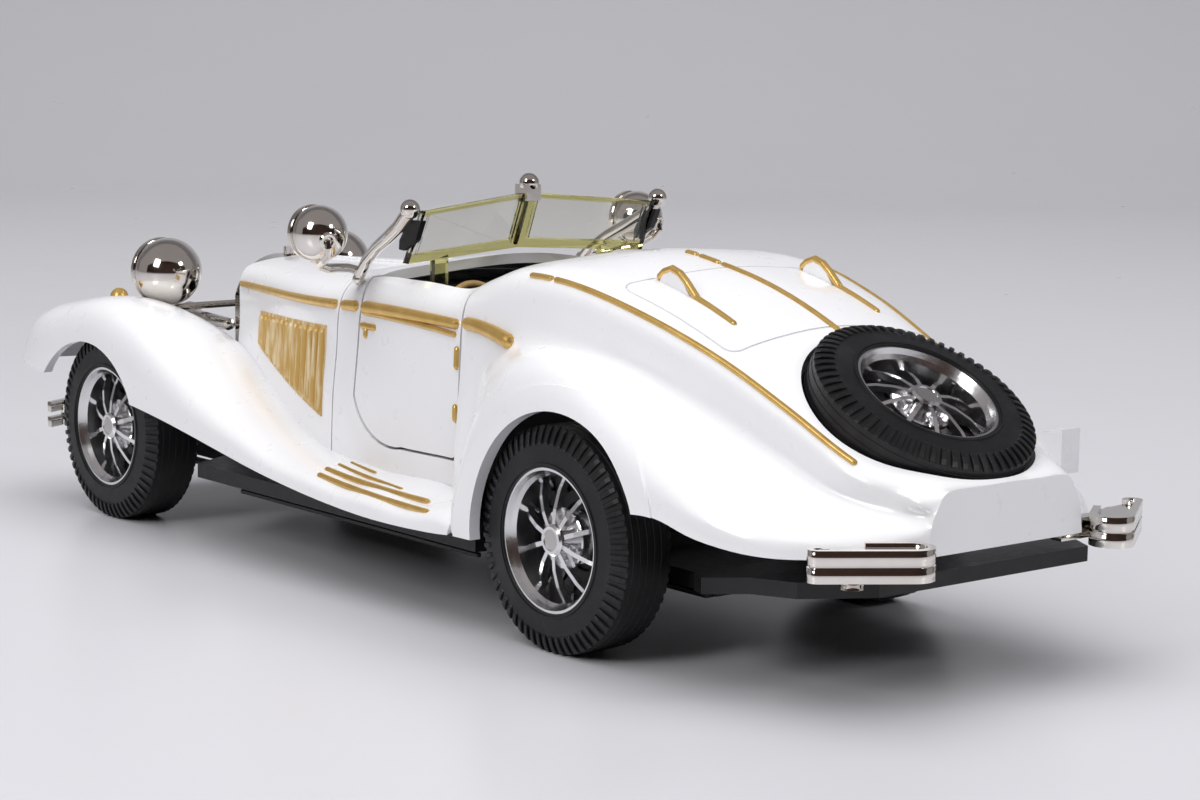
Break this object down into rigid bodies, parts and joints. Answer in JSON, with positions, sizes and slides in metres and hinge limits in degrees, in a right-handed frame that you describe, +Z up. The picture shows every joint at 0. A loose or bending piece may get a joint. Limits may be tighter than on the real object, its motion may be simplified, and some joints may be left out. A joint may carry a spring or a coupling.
{
  "type": "die-cast toy roadster convertible",
  "caption": "Die-cast model of a classic open roadster with opening doors, rolling spoked wheels, raked windscreen and a spare wheel on its tail.",
  "frame": {"origin": "middle of the car's bounding box in plan, on the surface that the tyres stand on", "axes": "+Z up, the nose points to -Y, the left side is +X"},
  "size_m": [0.0686, 0.2058, 0.0599],
  "materials": {
    "white_paint": "gloss",
    "gilt_paint": "satin metallic",
    "chrome_plate": "polished",
    "clear_plastic": "clear",
    "black_plastic": "satin",
    "tan_plastic": "satin",
    "tyre_rubber": "satin",
    "steel": "satin"
  },
  "bodies": {
    "root": {"body_shell": "white_paint", "bonnet": "white_paint", "bonnet_louvres": "gilt_paint", "cabin_tray": "black_plastic", "chassis_base": "black_plastic", "dashboard": "black_plastic", "deck_fins": "white_paint", "deck_handles": "gilt_paint", "deck_lines": "gilt_paint", "front_bumper": "chrome_plate", "front_wing_left": "white_paint", "front_wing_right": "white_paint", "headlamp_glasses": "clear_plastic", "headlamps": "chrome_plate", "horns": "chrome_plate", "lamp_bar": "chrome_plate", "radiator_slats": "chrome_plate", "radiator_surround": "chrome_plate", "rear_bumpers": "chrome_plate", "screen_pads": "black_plastic", "seats": "black_plastic", "spare_drum": "black_plastic", "spare_rim": "chrome_plate", "spare_tyre": "tyre_rubber", "spotlight_glasses": "clear_plastic", "spotlights": "chrome_plate", "steering_column": "black_plastic", "steering_wheel": "tan_plastic", "step_strips": "gilt_paint", "tail_lamp": "white_paint", "waist_mouldings": "gilt_paint", "windscreen_frame": "chrome_plate", "windscreen_glass": "clear_plastic", "wing_lamps": "gilt_paint"},
    "door_left": {"door_fittings_left": "gilt_paint", "door_left": "white_paint", "door_moulding_left": "gilt_paint"},
    "door_right": {"door_fittings_right": "gilt_paint", "door_moulding_right": "gilt_paint", "door_right": "white_paint"},
    "front_axle_set": {"front_axle": "steel", "front_drum_left": "black_plastic", "front_drum_right": "black_plastic", "front_rim_left": "chrome_plate", "front_rim_right": "chrome_plate", "front_tyre_left": "tyre_rubber", "front_tyre_right": "tyre_rubber"},
    "rear_axle_set": {"rear_axle": "steel", "rear_drum_left": "black_plastic", "rear_drum_right": "black_plastic", "rear_rim_left": "chrome_plate", "rear_rim_right": "chrome_plate", "rear_tyre_left": "tyre_rubber", "rear_tyre_right": "tyre_rubber"}
  },
  "joints": [
    {"name": "door_left_hinge", "type": "hinge", "parent": "root", "child": "door_left", "pos_m": [0.0243, 0.01668, 0.033], "axis": [0, 0, 1], "range_deg": [0, 62]},
    {"name": "door_right_hinge", "type": "hinge", "parent": "root", "child": "door_right", "pos_m": [-0.0243, 0.01668, 0.033], "axis": [0, 0, -1], "range_deg": [0, 62]},
    {"name": "front_axle_spin", "type": "hinge", "parent": "root", "child": "front_axle_set", "pos_m": [0, -0.0705, 0.01519], "axis": [1, 0, 0], "continuous": true},
    {"name": "rear_axle_spin", "type": "hinge", "parent": "root", "child": "rear_axle_set", "pos_m": [0, 0.047, 0.01519], "axis": [1, 0, 0], "continuous": true}
  ]
}
